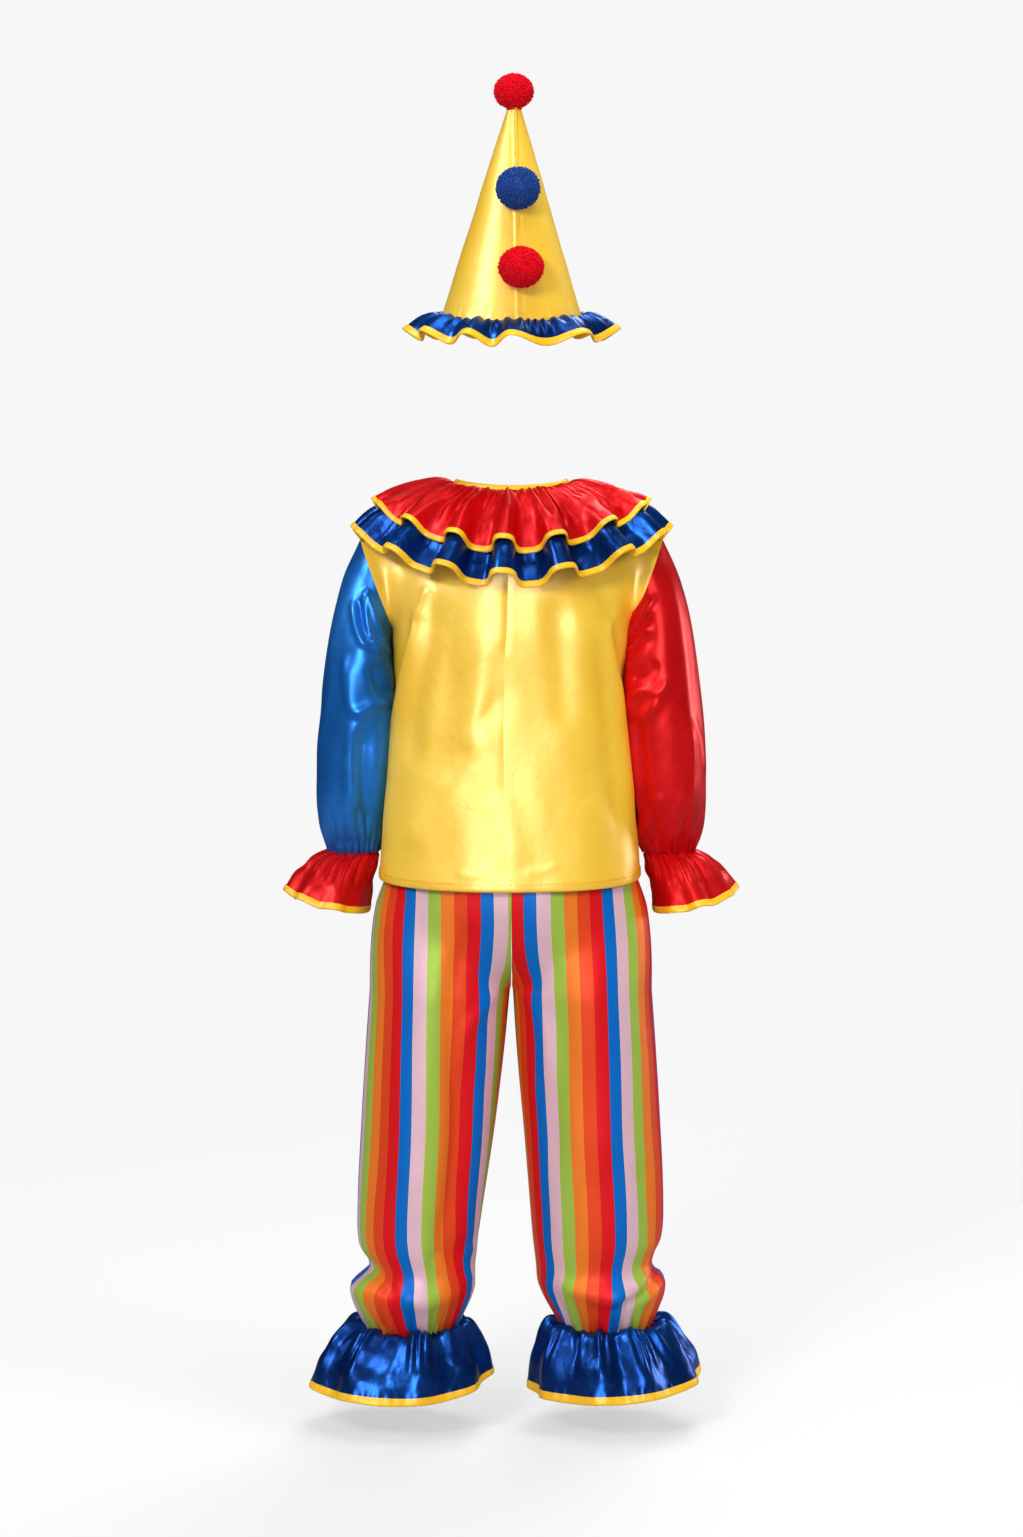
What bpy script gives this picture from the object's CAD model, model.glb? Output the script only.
"""The looks of a child's clown costume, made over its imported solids.

Sizes are in millimetres, in the frame of the solids: the origin is the middle of the neck
opening, +Z is up and the wearer faces +Y, so the camera looks at the back. Each mesh is put into
metres as it is written.
"""

import logging
import math
from collections.abc import Callable
from dataclasses import dataclass
from enum import Enum
from functools import cache

import bmesh
import bpy
import numpy as np
from mathutils import Matrix, Vector


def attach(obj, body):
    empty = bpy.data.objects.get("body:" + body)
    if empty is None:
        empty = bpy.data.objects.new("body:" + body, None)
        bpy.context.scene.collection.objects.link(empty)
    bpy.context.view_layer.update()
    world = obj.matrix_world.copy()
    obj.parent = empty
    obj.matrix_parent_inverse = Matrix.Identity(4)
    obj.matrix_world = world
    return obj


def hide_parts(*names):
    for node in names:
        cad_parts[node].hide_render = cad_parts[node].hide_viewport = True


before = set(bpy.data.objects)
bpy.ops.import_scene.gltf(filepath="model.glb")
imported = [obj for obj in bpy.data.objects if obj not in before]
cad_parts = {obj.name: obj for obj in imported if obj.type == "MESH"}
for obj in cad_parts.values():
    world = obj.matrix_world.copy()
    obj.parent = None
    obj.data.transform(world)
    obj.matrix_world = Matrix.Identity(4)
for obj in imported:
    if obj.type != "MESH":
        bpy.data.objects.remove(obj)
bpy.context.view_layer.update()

BODY = "root"
MM = 0.001
LOG = logging.getLogger("costume")

Array = np.ndarray
Surface = Callable[[Array, Array], Array]
Height = Callable[[Array, Array, Array, Array], Array]
Colour = tuple[int, int, int]

# Cloth and sewing
SATIN = 1.0
TAPE = 0.3  # one layer of a folded binding or hem
BINDING_WALL = 2.2  # a folded binding with the cloth inside it
BINDING_WIDTH = 6.0
HEM_WIDTH = 9.0
STITCH_ROW = 0.82  # where the stitches lie, as a share of a binding's or hem's width
STITCH_SINK = 0.2  # how deep they lie in it
STITCH_PITCH = 3.4
WEAVE_PITCH = 2.2
PANEL_SHARE = 0.84  # how much of its rectangle a panel of the top or trousers fills

# A fold fades out within this many widths beside its path, and over this share of it at each end
FOLD_REACH = 3.4
FOLD_FADE = 0.22

# Where the waves of each ruffle stand highest, in degrees round its edge. 0 is the outer side of
# a sleeve or leg, and the wearer's right side of the hat and collar. 270 is the middle of the
# back, but it is 90 on the left sleeve and leg.
COLLAR_CRESTS = (
    5.5, 30, 56, 80, 101, 125, 149, 172, 197, 222.7, 246.1, 266.9, 288.2, 314.3, 339.5,
)
BRIM_CRESTS = (28, 61, 97, 128, 157, 185, 215, 246, 269.5, 313, 355)
CUFF_CRESTS = (12, 52, 104, 141, 186, 233, 275, 324)
ANKLE_CRESTS = (18, 55, 101, 142, 178, 214, 258, 292, 333)


class Side(Enum):
    """The wearer's left and right, with the sign of their X."""

    LEFT = -1
    RIGHT = 1


class Face(Enum):
    """The back and the front, with the sign of their Y."""

    BACK = -1
    FRONT = 1


class Lit(Enum):
    """What a light reaches."""

    CLOTH = "cloth"
    SHEEN = "sheen"
    BOTH = "both"


class Held(Enum):
    """How a sheet of cloth is held, in the frame's own words."""

    GATHERED = "gathered"
    HUNG = "hung"
    STRETCHED = "stretched"


def mix(low: float | Array, high: float | Array, share: float | Array) -> float | Array:
    """Goes from low to high as share goes from 0 to 1."""
    return low + (high - low) * share


def smooth(value: float | Array) -> float | Array:
    """An even step from 0 to 1."""
    held = np.clip(value, 0.0, 1.0)
    return held * held * (3 - 2 * held)


def bell(distance: Array, width: float | Array) -> Array:
    """1 at no distance, and almost 0 at two widths."""
    return np.exp(-((distance / width) ** 2))


def points(x: Array, y: Array, z: Array) -> Array:
    """Puts three arrays of coordinates together as points."""
    return np.stack(np.broadcast_arrays(x, y, z), axis=-1).astype(float)


class Table:
    """Rows of sizes, read on a smooth curve through them. The first column is what they go by."""

    def __init__(self, columns: str, *rows: tuple[float, ...]) -> None:
        """Sorts the rows by their first value.

        Args:
            columns: The names of the columns, with spaces between them.
            rows: The sizes, one for each column.
        """
        data = np.array(sorted(rows), float).T
        self.key = data[0]
        self.columns = dict(zip(columns.split(), data, strict=True))

    def __call__(self, column: str, at: float | Array) -> Array:
        """Reads one column.

        Args:
            column: Its name.
            at: Places on the first column, held to its ends.

        Returns:
            The sizes there.
        """
        key, values = self.key, self.columns[column]
        last = len(key) - 1
        row = np.clip(np.searchsorted(key, at) - 1, 0, last - 1)
        before, after = np.maximum(row - 1, 0), np.minimum(row + 2, last)
        step = key[row + 1] - key[row]
        t = np.clip((at - key[row]) / step, 0.0, 1.0)
        start = (values[row + 1] - values[before]) / (key[row + 1] - key[before])
        end = (values[after] - values[row]) / (key[after] - key[row])
        keep = 2 * t**3 - 3 * t**2 + 1
        bend = (t**3 - 2 * t**2 + t) * start + (t**3 - t**2) * end
        return keep * values[row] + (1 - keep) * values[row + 1] + bend * step


def waves(crests: tuple[float, ...], turns: Array, narrow: float = 1.0) -> Array:
    """The waves round a ruffle.

    Args:
        crests: Where they stand highest, in degrees.
        turns: Places round the ruffle, in turns.
        narrow: Above 1, the crests are narrower than the troughs.

    Returns:
        1 at each crest and -1 halfway between two.
    """
    ends = np.append(crests, crests[0] + 360.0)
    at = (turns * 360 - ends[0]) % 360 + ends[0]
    row = np.clip(np.searchsorted(ends, at, side="right") - 1, 0, len(crests) - 1)
    share = (at - ends[row]) / (ends[row + 1] - ends[row])
    return 2 * (0.5 + 0.5 * np.cos(2 * np.pi * share)) ** narrow - 1


def gathers(turns: Array, count: int, seed: int) -> Array:
    """Uneven gathers round a seam, from -1 to 1.

    Args:
        turns: Places round the seam, in turns.
        count: How many gathers there are.
        seed: Chooses how their spacing varies.

    Returns:
        How high the cloth stands.
    """
    draw = np.random.default_rng(seed)
    phase = count * turns
    for wave in (2, 3, 5, 8, 13):
        drift = np.sin(2 * np.pi * (wave * turns + draw.random()))
        phase = phase + draw.uniform(0.12, 0.42) * drift
    return np.cos(2 * np.pi * phase)


def ripple(at: Array, length: float, seed: int, hang: float = 1.0) -> Array:
    """Soft uneven waves all over a cloth, about -2 to 2.

    Args:
        at: Points on the cloth.
        length: The usual length of a wave.
        seed: Chooses their directions and places.
        hang: How many times longer they are down the cloth than across it.

    Returns:
        How high the cloth stands.
    """
    draw = np.random.default_rng(seed)
    count = 14
    total = np.zeros(at.shape[:-1])
    for _ in range(count):
        direction = draw.normal(size=3)
        direction *= 2 * np.pi / (np.linalg.norm(direction) * length * draw.uniform(0.6, 1.9))
        direction[2] /= hang
        total += np.sin(at @ direction + draw.uniform(0, 2 * np.pi))
    return total / math.sqrt(count / 2)


@dataclass(frozen=True)
class Fold:
    """One fold or crease, drawn over the cloth as it is seen from behind or in front."""

    path: tuple[tuple[float, float], ...]  # x and z
    height: float
    width: float
    lean: float = 0.0  # above 0, the fold is steep on the right of its path

    @property
    def line(self) -> Array:
        """The path as a smooth curve of short steps."""
        rows = [(float(k), *place) for k, place in enumerate(self.path)]
        table, at = Table("k x z", *rows), np.linspace(0, len(rows) - 1, 4 * len(rows))
        return np.stack((table("x", at), table("z", at)), axis=1)

    def lift(self, x: Array, z: Array) -> Array:
        """How far the fold lifts the cloth.

        Args:
            x: Where the cloth is.
            z: Where the cloth is.

        Returns:
            Its height there, which fades towards both ends of the path.
        """
        line, reach, total = self.line, FOLD_REACH * self.width, np.zeros_like(x)
        low, high = line.min(axis=0) - reach, line.max(axis=0) + reach
        near = (x > low[0]) & (x < high[0]) & (z > low[1]) & (z < high[1])
        if not near.any():
            return total
        start, step = line[:-1], np.diff(line, axis=0)
        dx, dz = x[near][:, None] - start[:, 0], z[near][:, None] - start[:, 1]
        along = np.clip((dx * step[:, 0] + dz * step[:, 1]) / (step**2).sum(axis=1), 0, 1)
        off_x, off_z = dx - along * step[:, 0], dz - along * step[:, 1]
        distance = np.hypot(off_x, off_z)
        closest = distance.argmin(axis=1)
        pick = (np.arange(len(closest)), closest)
        left = np.sign(step[closest, 0] * off_z[pick] - step[closest, 1] * off_x[pick])
        share = (closest + along[pick]) / len(step)
        strength = smooth(share / FOLD_FADE) * smooth((1 - share) / FOLD_FADE)
        width = self.width * (1 + self.lean * left)
        total[near] = self.height * strength * bell(distance[pick], width)
        return total


@dataclass(frozen=True)
class Drape:
    """The folds of one piece, on its back and its front, and the soft ripples all over it."""

    back: tuple[Fold, ...]
    front: tuple[Fold, ...]
    ripple: float
    length: float
    seed: int
    hang: float = 3.2  # how many times longer the ripples are down the cloth than across it

    def lift(self, at: Array, facing: Array) -> Array:
        """How far the cloth stands out at each point.

        Args:
            at: Points on the cloth.
            facing: Its normals there.

        Returns:
            Heights.
        """
        total = self.ripple * ripple(at, self.length, self.seed, self.hang)
        for folds, face in ((self.back, Face.BACK), (self.front, Face.FRONT)):
            share = smooth(0.5 + 1.7 * face.value * facing[..., 1])
            for fold in folds:
                total += share * fold.lift(at[..., 0], at[..., 2])
        return total


def moved(folds: tuple[Fold, ...], across: float, up: float, share: float) -> tuple[Fold, ...]:
    """Like folds for a side that the photo doesn't show.

    Args:
        folds: The folds to follow.
        across: How far they move along X.
        up: How far they move along Z.
        share: Their height as a share of the first ones.

    Returns:
        The new folds.
    """
    made = []
    for fold in folds:
        path = tuple((x + across, z + up) for x, z in fold.path)
        made.append(Fold(path, share * fold.height, fold.width, fold.lean))
    return tuple(made)


def mirrored(folds: tuple[Fold, ...]) -> tuple[Fold, ...]:
    """The same folds with left and right changed over.

    Args:
        folds: The folds to follow.

    Returns:
        The new folds.
    """
    made = []
    for fold in folds:
        path = tuple((-x, z) for x, z in fold.path)
        made.append(Fold(path, fold.height, fold.width, -fold.lean))
    return tuple(made)


def outward(surface: Surface, u: Array, v: Array) -> Array:
    """The direction square to a surface.

    Args:
        surface: The surface.
        u: Places round it.
        v: Places up it.

    Returns:
        Unit normals, outward where u runs counter-clockwise seen from above.
    """
    reach = 1e-3
    along = surface(u + reach, v) - surface(u - reach, v)
    up = surface(u, np.minimum(1, v + reach)) - surface(u, np.maximum(0, v - reach))
    normal = np.cross(along, up)
    return normal / np.maximum(np.linalg.norm(normal, axis=-1, keepdims=True), 1e-9)


def raised(surface: Surface, height: Height) -> Surface:
    """A surface pushed out along its own normals.

    Args:
        surface: The surface to start from.
        height: Gives the push from u, v, the points and the normals.

    Returns:
        The new surface.
    """

    def pushed(u: Array, v: Array) -> Array:
        """The pushed surface."""
        at, facing = surface(u, v), outward(surface, u, v)
        return at + facing * height(u, v, at, facing)[..., None]

    return pushed


def ring_tube(rings: Table, side: Side) -> Surface:
    """A tube through a table of rings.

    Args:
        rings: The rings, from down 0 at the top to down 1 at the bottom.
        side: The wearer's side that it is on. The table gives the right one.

    Returns:
        A surface with u 0 on its outer side and v 1 at the top ring.
    """

    def tube(u: Array, v: Array) -> Array:
        """The tube itself.

        Args:
            u: Places round it.
            v: Places up it.

        Returns:
            Points.
        """
        angle = side.value * 2 * np.pi * u
        x = rings("x", 1 - v) + rings("width", 1 - v) * np.cos(angle)
        y = rings("y", 1 - v) + rings("depth", 1 - v) * np.sin(angle)
        z = rings("z", 1 - v) + rings("rise", 1 - v) * np.cos(angle)
        return points(side.value * x, y, z)

    return tube


class Socket:
    """A shader socket with arithmetic, where each expression adds its Math nodes."""

    def __init__(self, tree: "Shader", link: bpy.types.NodeSocket) -> None:
        """Keeps the socket and the tree that it is in."""
        self.tree = tree
        self.link = link

    def __add__(self, other: "Socket | float") -> "Socket":
        """The sum."""
        return self.tree.maths("ADD", self, other)

    def __sub__(self, other: "Socket | float") -> "Socket":
        """The difference."""
        return self.tree.maths("SUBTRACT", self, other)

    def __rsub__(self, other: float) -> "Socket":
        """The difference from a number."""
        return self.tree.maths("SUBTRACT", other, self)

    def __mul__(self, other: "Socket | float") -> "Socket":
        """The product."""
        return self.tree.maths("MULTIPLY", self, other)

    def __truediv__(self, other: "Socket | float") -> "Socket":
        """The quotient."""
        return self.tree.maths("DIVIDE", self, other)

    def __mod__(self, other: "Socket | float") -> "Socket":
        """What is left over, never below 0."""
        return self.tree.maths("FLOORED_MODULO", self, other)

    __radd__ = __add__
    __rmul__ = __mul__


def linear(colour: Colour) -> tuple[float, float, float, float]:
    """An 8-bit screen colour as the linear one that a shader takes.

    Args:
        colour: Red, green and blue up to 255.

    Returns:
        The linear colour, with an alpha of 1.
    """
    shares = [value / 255 for value in colour]
    light = [s / 12.92 if s <= 0.04045 else ((s + 0.055) / 1.055) ** 2.4 for s in shares]
    return (*light, 1.0)


class Shader:
    """The nodes of one material."""

    def __init__(self, name: str) -> None:
        """Starts an empty material.

        Args:
            name: The material's name.
        """
        self.material = bpy.data.materials.new(name)
        self.material.use_nodes = True
        self.tree = self.material.node_tree
        self.tree.nodes.clear()

    def node(
        self,
        kind: str,
        settings: dict | None = None,
        values: dict | None = None,
        out: int | str = 0,
    ) -> Socket:
        """Adds one node.

        Args:
            kind: Its type, without the first words of Blender's name for it.
            settings: Its properties, and a ramp's stops as places and colours.
            values: A number, colour or Socket for each of its inputs.
            out: Which output to give back.

        Returns:
            That output.
        """
        made = self.tree.nodes.new("ShaderNode" + kind)
        for name, value in (settings or {}).items():
            if name == "stops":
                ramp = made.color_ramp.elements
                while len(ramp) < len(value):
                    ramp.new(1.0)
                for stop, (place, colour) in zip(ramp, value, strict=True):
                    stop.position, stop.color = place, colour
            elif name == "interpolation":
                made.color_ramp.interpolation = value
            else:
                setattr(made, name, value)
        for name, value in (values or {}).items():
            if isinstance(value, Socket):
                self.tree.links.new(value.link, made.inputs[name])
            else:
                made.inputs[name].default_value = value
        return Socket(self, made.outputs[out])

    def maths(self, operation: str, *values: Socket | float) -> Socket:
        """A Math node on numbers and sockets."""
        return self.node("Math", {"operation": operation}, dict(enumerate(values)))

    def blend(self, share: Socket | float, low: Socket | tuple, high: Socket | tuple) -> Socket:
        """A colour between two others."""
        return self.node("Mix", {"data_type": "RGBA"}, {0: share, 6: low, 7: high}, out=2)

    def place(self) -> Socket:
        """Where a point is, in metres."""
        return self.node("TexCoord", out="Object")

    def noise(
        self, size: float, detail: float = 2.0, distortion: float = 0.0, hang: float = 1.0
    ) -> Socket:
        """Uneven values around 0.5.

        Args:
            size: About how wide the patches are, in millimetres.
            detail: How much finer change they hold.
            distortion: How much they twist.
            hang: How many times taller than wide they are.

        Returns:
            The values.
        """
        stretch = {0: self.place(), 1: (1, 1, 1 / hang)}
        values = {
            "Vector": self.node("VectorMath", {"operation": "MULTIPLY"}, stretch),
            "Scale": 1 / (size * MM),
            "Detail": detail,
            "Distortion": distortion,
        }
        return self.node("TexNoise", {}, values)

    def weave(self, pitch: float) -> Socket:
        """The diagonal of a satin weave, on the cloth's own map.

        Args:
            pitch: How far apart its lines are, in millimetres.

        Returns:
            Values from -1 to 1.
        """
        cloth = self.node("TexCoord", out="UV")
        x = self.node("SeparateXYZ", {}, {0: cloth}, out=0)
        y = self.node("SeparateXYZ", {}, {0: cloth}, out=1)
        turn = 2 * math.pi / (pitch * MM)
        return self.maths("SINE", (x + y * 1.3) * turn) * self.maths("SINE", (x * 0.4 - y) * turn)

    def bump(self, relief: Socket) -> Socket:
        """Normals for a relief in millimetres."""
        return self.node("Bump", {}, {"Height": relief, "Distance": MM, "Strength": 1.0})

    def finish(self, values: dict) -> bpy.types.Material:
        """Adds the surface shader and the output.

        Args:
            values: The shader's inputs.

        Returns:
            The material.
        """
        surface = self.node("BsdfPrincipled", {}, values)
        output = self.tree.nodes.new("ShaderNodeOutputMaterial")
        self.tree.links.new(surface.link, output.inputs["Surface"])
        return self.material


def smooth_step(value: Socket, low: float, high: float) -> Socket:
    """0 below low and 1 above high, with a soft change between them."""
    settings = {"interpolation_type": "SMOOTHSTEP"}
    return value.tree.node("MapRange", settings, {0: value, 1: low, 2: high})


@dataclass(frozen=True)
class Satin:
    """Glossy satin: crinkles that catch the light, a fine weave and a little change of colour."""

    name: str
    shade: Colour
    light: Colour
    metallic: float
    roughness: float
    crinkle: float  # width of the larger crinkles
    depth: float
    fine: float  # width of the finer ones
    fine_depth: float
    specular: float
    hang: float = 3.5  # how many times longer the larger crinkles are down the cloth

    def material(self) -> bpy.types.Material:
        """Builds the shader.

        Returns:
            The material.
        """
        tree = Shader(self.name)
        large = tree.noise(self.crinkle, detail=1.5, distortion=0.7, hang=self.hang)
        small = tree.noise(self.fine, detail=2.0, distortion=0.5)
        weave = tree.weave(WEAVE_PITCH)
        relief = large * self.depth + small * self.fine_depth + weave * 0.014
        patches = tree.noise(90, detail=2.0) + (small - 0.5) * 0.25 + weave * 0.06
        share = smooth_step(patches, 0.35, 0.7)
        return tree.finish(
            {
                "Base Color": tree.blend(share, linear(self.shade), linear(self.light)),
                "Metallic": self.metallic,
                "Roughness": small * 0.12 + (self.roughness - 0.06),
                "Specular IOR Level": self.specular,
                "Normal": tree.bump(relief),
            }
        )


@dataclass(frozen=True)
class StripedSatin:
    """Satin printed with upright stripes, on a map whose first value runs across the print."""

    name: str = "striped_satin"
    pitch: float = 13.5
    stripes: tuple[Colour, ...] = (
        (160, 188, 72),
        (238, 122, 38),
        (228, 70, 26),
        (222, 16, 26),
        (0, 106, 196),
        (224, 182, 194),
    )
    edge: Colour = (236, 200, 170)  # the pale line at both edges of the last stripe
    edge_share: float = 0.006  # its width as a share of the whole print
    wear: float = 0.6  # the grey that dulls the print unevenly

    def material(self) -> bpy.types.Material:
        """Builds the shader.

        Returns:
            The material.
        """
        tree = Shader(self.name)
        cloth = tree.node("TexCoord", out="UV")
        across = tree.node("SeparateXYZ", {}, {0: cloth}, out=0)
        count = len(self.stripes)
        place = (across / (self.pitch * MM * count)) % 1.0
        stops = [(k / count, linear(colour)) for k, colour in enumerate(self.stripes)]
        ends = ((count - 1) / count, 1)
        pale = [(end - self.edge_share, linear(self.edge)) for end in ends]
        ramp = {"interpolation": "CONSTANT", "stops": sorted(stops + pale)}
        printed = tree.node("ValToRGB", ramp, {0: place})
        small = tree.noise(7, detail=2.0, distortion=0.4)
        weave = tree.weave(WEAVE_PITCH)
        dulled = small * 0.2 + weave * 0.08 + 0.05
        grey = (self.wear, self.wear, self.wear, 1)
        settings = {"data_type": "RGBA", "blend_type": "MULTIPLY"}
        worn = tree.node("Mix", settings, {0: dulled, 6: printed, 7: grey}, out=2)
        relief = tree.noise(40, detail=1.0, distortion=0.5) * 0.9 + small * 0.03 + weave * 0.012
        return tree.finish(
            {
                "Base Color": worn,
                "Metallic": 0.12,
                "Roughness": small * 0.06 + 0.46,
                "Specular IOR Level": 0.12,
                "Normal": tree.bump(relief),
            }
        )


@dataclass(frozen=True)
class Yarn:
    """Matt cut yarn, darker between its ends."""

    name: str
    shade: Colour
    light: Colour

    def material(self) -> bpy.types.Material:
        """Builds the shader.

        Returns:
            The material.
        """
        tree = Shader(self.name)
        share = smooth_step(tree.noise(1.6, detail=3.0), 0.3, 0.75)
        return tree.finish(
            {
                "Base Color": tree.blend(share, linear(self.shade), linear(self.light)),
                "Roughness": 0.95,
                "Specular IOR Level": 0.1,
                "Normal": tree.bump(tree.noise(0.5, detail=2.0) * 0.15),
            }
        )


YELLOW = Satin(
    "yellow_satin",
    shade=(249, 196, 34),
    light=(252, 206, 56),
    metallic=0.12,
    roughness=0.44,
    crinkle=40,
    depth=0.5,
    fine=9,
    fine_depth=0.2,
    specular=1.0,
)
YELLOW_HEM = Satin(
    "yellow_satin",
    shade=(240, 184, 32),
    light=(246, 196, 50),
    metallic=0.12,
    roughness=0.42,
    crinkle=14,
    depth=0.3,
    fine=4,
    fine_depth=0.12,
    specular=0.8,
)
HEM_THREAD = Satin(
    "yellow_binding",
    shade=(216, 158, 26),
    light=(232, 178, 40),
    metallic=0.05,
    roughness=0.5,
    crinkle=14,
    depth=0.2,
    fine=4,
    fine_depth=0.1,
    specular=0.4,
)
BRIGHT_YELLOW = Satin(
    "yellow_binding",
    shade=(244, 184, 8),
    light=(255, 206, 24),
    metallic=0.05,
    roughness=0.45,
    crinkle=14,
    depth=0.25,
    fine=4,
    fine_depth=0.1,
    specular=0.5,
)
RED = Satin(
    "red_satin",
    shade=(200, 3, 10),
    light=(222, 10, 16),
    metallic=0.4,
    roughness=0.4,
    crinkle=24,
    depth=1.1,
    fine=8,
    fine_depth=0.12,
    specular=0.25,
)
BLUE = Satin(
    "blue_satin",
    shade=(22, 104, 190),
    light=(36, 122, 212),
    metallic=0.55,
    roughness=0.38,
    crinkle=28,
    depth=1.1,
    fine=8,
    fine_depth=0.12,
    specular=0.3,
)
NAVY = Satin(
    "navy_satin",
    shade=(8, 48, 114),
    light=(18, 78, 162),
    metallic=0.75,
    roughness=0.34,
    crinkle=20,
    depth=1.8,
    fine=6,
    fine_depth=0.14,
    specular=0.2,
    hang=1.6,
)
STRIPES = StripedSatin()
RED_YARN = Yarn("red_yarn", (206, 0, 22), (252, 18, 40))
BLUE_YARN = Yarn("blue_yarn", (18, 52, 122), (56, 98, 178))


@cache
def material_of(finish: Satin | StripedSatin | Yarn) -> bpy.types.Material:
    """The material of a finish, which is made once."""
    return finish.material()


def add_piece(
    name: str,
    mesh: bpy.types.Mesh,
    finish: Satin | StripedSatin | Yarn,
    node: str | None = None,
) -> bpy.types.Object:
    """Puts a mesh into the scene as a piece of the costume.

    Args:
        name: The piece's name.
        mesh: Its mesh, in metres.
        finish: What it is made of. The record's slot has the same name.
        node: The solid that it stands for.

    Returns:
        The new object.
    """
    mesh.materials.append(material_of(finish))
    piece = bpy.data.objects.new(f"{name}_sewn", mesh)
    bpy.context.scene.collection.objects.link(piece)
    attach(piece, BODY)
    if node is not None:
        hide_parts(node)
    LOG.info("%s: %d faces", name, len(mesh.polygons))
    return piece


def thicken(piece: bpy.types.Object, wall: float) -> None:
    """Gives a sheet its wall, half to each side.

    Args:
        piece: The sheet.
        wall: How thick it is.
    """
    shell = piece.modifiers.new("wall", "SOLIDIFY")
    shell.thickness = wall * MM
    shell.offset = 0.0
    shell.use_even_offset = False


def sew_up(mesh: bpy.types.Mesh, closed: bool) -> None:
    """Joins the edges where a sheet closes on itself, and keeps its free edges crisp.

    Args:
        mesh: The sheet's mesh, in metres.
        closed: Whether it closes on itself.
    """
    shape = bmesh.new()
    shape.from_mesh(mesh)
    if closed:
        bmesh.ops.remove_doubles(shape, verts=shape.verts[:], dist=0.02 * MM)
    for edge in shape.edges:
        edge.smooth = not edge.is_boundary
    shape.to_mesh(mesh)
    shape.free()


@dataclass(frozen=True)
class Grid:
    """How a sheet is divided, and the part of its surface that it covers."""

    columns: int
    rows: int
    across: tuple[float, float] = (0.0, 1.0)
    up: tuple[float, float] = (0.0, 1.0)
    closed: bool = False


def sheet_mesh(
    name: str,
    surface: Surface,
    grid: Grid,
    size: tuple[float, float],
    print_place: Callable[[Array], Array] | None = None,
) -> bpy.types.Mesh:
    """Lays a grid of cloth on a surface.

    Args:
        name: The mesh's name.
        surface: Gives the place of each point of the grid.
        grid: Its divisions and its part of the surface.
        size: How wide and how long the cloth is, for its map.
        print_place: Gives the first value of the map for rows of points, where the print needs it.

    Returns:
        The mesh, in metres.
    """
    shape = bmesh.new()
    bmesh.ops.create_grid(shape, x_segments=grid.columns, y_segments=grid.rows, size=0.5)
    mesh = bpy.data.meshes.new(name)
    shape.to_mesh(mesh)
    shape.free()
    flat = np.empty(len(mesh.vertices) * 3, np.float32)
    mesh.vertices.foreach_get("co", flat)
    flat = flat.reshape(-1, 3).astype(float) + 0.5
    placed = surface(mix(*grid.across, flat[:, 0]), mix(*grid.up, flat[:, 1]))
    cloth = flat[:, :2] * size
    if print_place is not None:
        order = np.lexsort((flat[:, 0].round(6), flat[:, 1].round(6)))
        rows = len(np.unique(flat[:, 1].round(6)))
        cloth[order, 0] = print_place(placed[order].reshape(rows, -1, 3)).ravel()
    corners = np.empty(len(mesh.loops), np.int32)
    mesh.loops.foreach_get("vertex_index", corners)
    cloth_map = mesh.uv_layers.new(name="Cloth")
    cloth_map.data.foreach_set("uv", (cloth[corners] * MM).astype(np.float32).ravel())
    mesh.vertices.foreach_set("co", (placed * MM).astype(np.float32).ravel())
    mesh.update()
    mesh.shade_smooth()
    sew_up(mesh, grid.closed)
    return mesh


def folded_edge(surface: Surface, share: float) -> Surface:
    """A strip folded over the lower edge of a surface, with a stitched groove near both its edges.

    Args:
        surface: The cloth that it binds.
        share: How much of the cloth's v it covers.

    Returns:
        A surface whose v goes from the inner edge of the strip, round the fold, to the outer edge.
    """

    def strip(u: Array, v: Array) -> Array:
        """The folded strip.

        Args:
            u: Places round it.
            v: Places up it.

        Returns:
            Points.
        """
        face = 2 * v - 1
        out = np.abs(face) ** 1.5
        round_edge = np.sqrt(np.clip(1 - (1 - np.minimum(1, out / 0.3)) ** 2, 0, 1))
        groove = 0.3 * bell(out - STITCH_ROW, 0.07)
        pucker = 0.12 * np.sin(u * 2 * np.pi * 210) * bell(out - 0.8, 0.2)
        raw_edge = 0.25 * smooth((out - 0.9) / 0.1)
        away = np.sign(face) * round_edge * (BINDING_WALL / 2 - groove + pucker - raw_edge)
        at = share * np.minimum(1, out)
        return surface(u, at) + outward(surface, u, at) * away[..., None]

    return strip


def stitches(
    name: str,
    line: Array,
    facing: Array,
    length: float,
    radius: float,
    finish: Satin,
) -> bpy.types.Object:
    """A row of stitches.

    Args:
        name: The piece's name.
        line: Where the middle of each stitch lies, in order.
        facing: The cloth's normals there.
        length: How long a stitch is.
        radius: Half its thickness.
        finish: The thread.

    Returns:
        One piece with all the stitches.
    """
    shape = bmesh.new()
    along = np.gradient(line, axis=0)
    for place, normal, direction in zip(line, facing, along, strict=True):
        centre = Vector((place + 0.4 * radius * normal) * MM)
        turn = Vector(direction).to_track_quat("Z", "Y").to_matrix().to_4x4()
        bmesh.ops.create_cone(
            shape,
            cap_ends=True,
            segments=5,
            radius1=radius * MM,
            radius2=0.75 * radius * MM,
            depth=length * MM,
            matrix=Matrix.Translation(centre) @ turn,
        )
    mesh = bpy.data.meshes.new(name)
    shape.to_mesh(mesh)
    shape.free()
    mesh.uv_layers.new(name="Cloth")
    mesh.shade_smooth()
    return add_piece(name, mesh, finish)


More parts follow.
